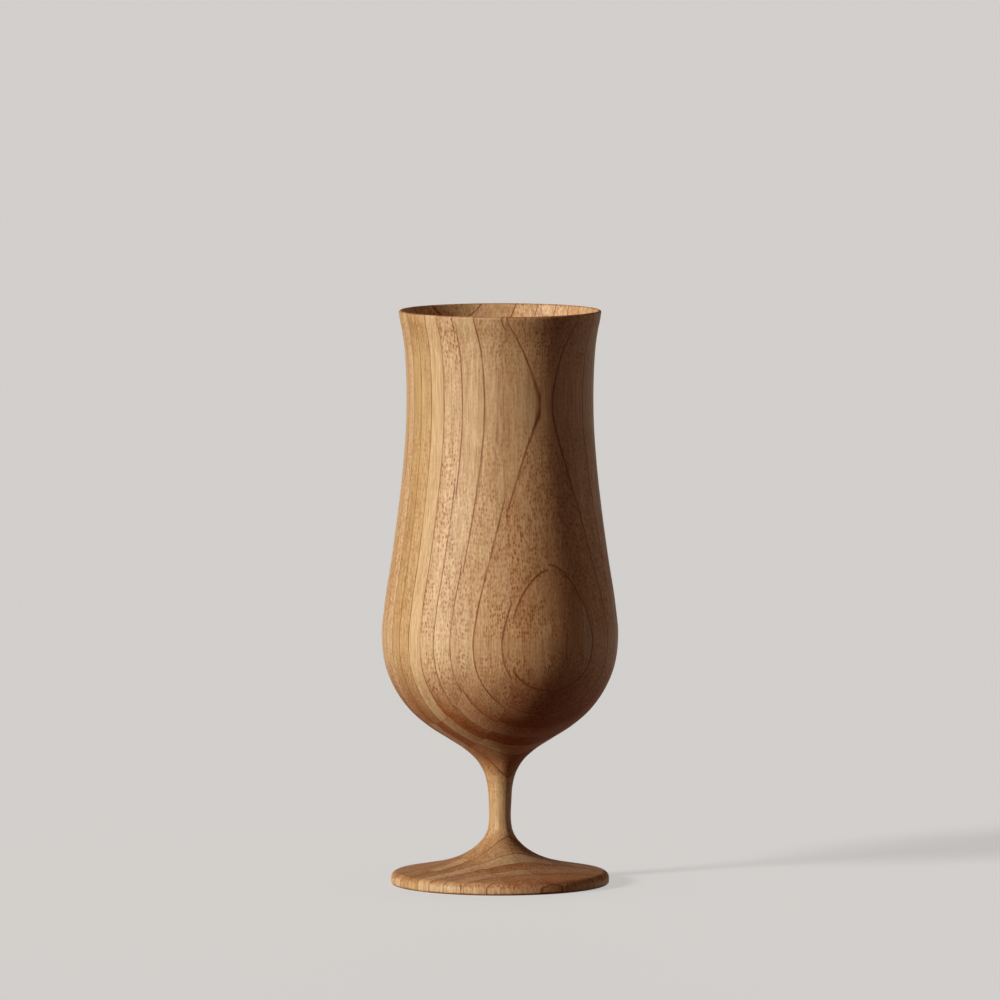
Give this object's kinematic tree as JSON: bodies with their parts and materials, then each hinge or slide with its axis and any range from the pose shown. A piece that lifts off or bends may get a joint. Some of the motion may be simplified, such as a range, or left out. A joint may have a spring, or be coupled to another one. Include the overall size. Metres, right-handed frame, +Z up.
{
  "type": "stemmed cup",
  "caption": "Stemmed beer cup with a tulip bowl, a slim stem and a flat round foot, turned from a block of glued bamboo strips.",
  "frame": {"origin": "middle of the foot's underside, on the table", "axes": "+Z up along the stem, +X across the boards of the glued block, +Y through the strips of each board, with the front at -Y"},
  "size_m": [0.076, 0.076, 0.185],
  "materials": {
    "bamboo": "satin clear lacquer"
  },
  "bodies": {
    "root": {"board_1_middle_strip_front": "bamboo", "board_1_middle_strip_back": "bamboo", "board_1_strip_pair_2": "bamboo", "board_1_strip_pair_3": "bamboo", "board_1_strip_pair_4": "bamboo", "board_1_strip_pair_5": "bamboo", "board_1_strip_pair_6": "bamboo", "board_2_middle_strip_front": "bamboo", "board_2_middle_strip_back": "bamboo", "board_2_strip_pair_2": "bamboo", "board_2_strip_pair_3": "bamboo", "board_2_strip_pair_4": "bamboo", "board_2_strip_pair_5": "bamboo", "board_2_strip_pair_6": "bamboo", "board_2_strip_pair_7": "bamboo", "board_2_strip_pair_8": "bamboo", "board_3_middle_strip_front": "bamboo", "board_3_middle_strip_back": "bamboo", "board_3_strip_pair_2": "bamboo", "board_3_strip_pair_3": "bamboo", "board_3_strip_pair_4": "bamboo", "board_3_strip_pair_5": "bamboo", "board_3_strip_pair_6": "bamboo", "board_3_strip_pair_7": "bamboo", "board_3_strip_pair_8": "bamboo", "board_4_middle_strip_front": "bamboo", "board_4_middle_strip_back": "bamboo", "board_4_strip_pair_2": "bamboo", "board_4_strip_pair_3": "bamboo", "board_4_strip_pair_4": "bamboo", "board_4_strip_pair_5": "bamboo", "board_4_strip_pair_6": "bamboo", "board_4_strip_pair_7": "bamboo", "board_4_strip_pair_8": "bamboo", "board_5_middle_strip_front": "bamboo", "board_5_middle_strip_back": "bamboo", "board_5_strip_pair_2": "bamboo", "board_5_strip_pair_3": "bamboo", "board_5_strip_pair_4": "bamboo", "board_5_strip_pair_5": "bamboo", "board_5_strip_pair_6": "bamboo", "board_5_strip_pair_7": "bamboo", "board_5_strip_pair_8": "bamboo", "board_6_middle_strip_front": "bamboo", "board_6_middle_strip_back": "bamboo", "board_6_strip_pair_2": "bamboo", "board_6_strip_pair_3": "bamboo", "board_6_strip_pair_4": "bamboo", "board_6_strip_pair_5": "bamboo", "board_6_strip_pair_6": "bamboo"}
  },
  "joints": []
}
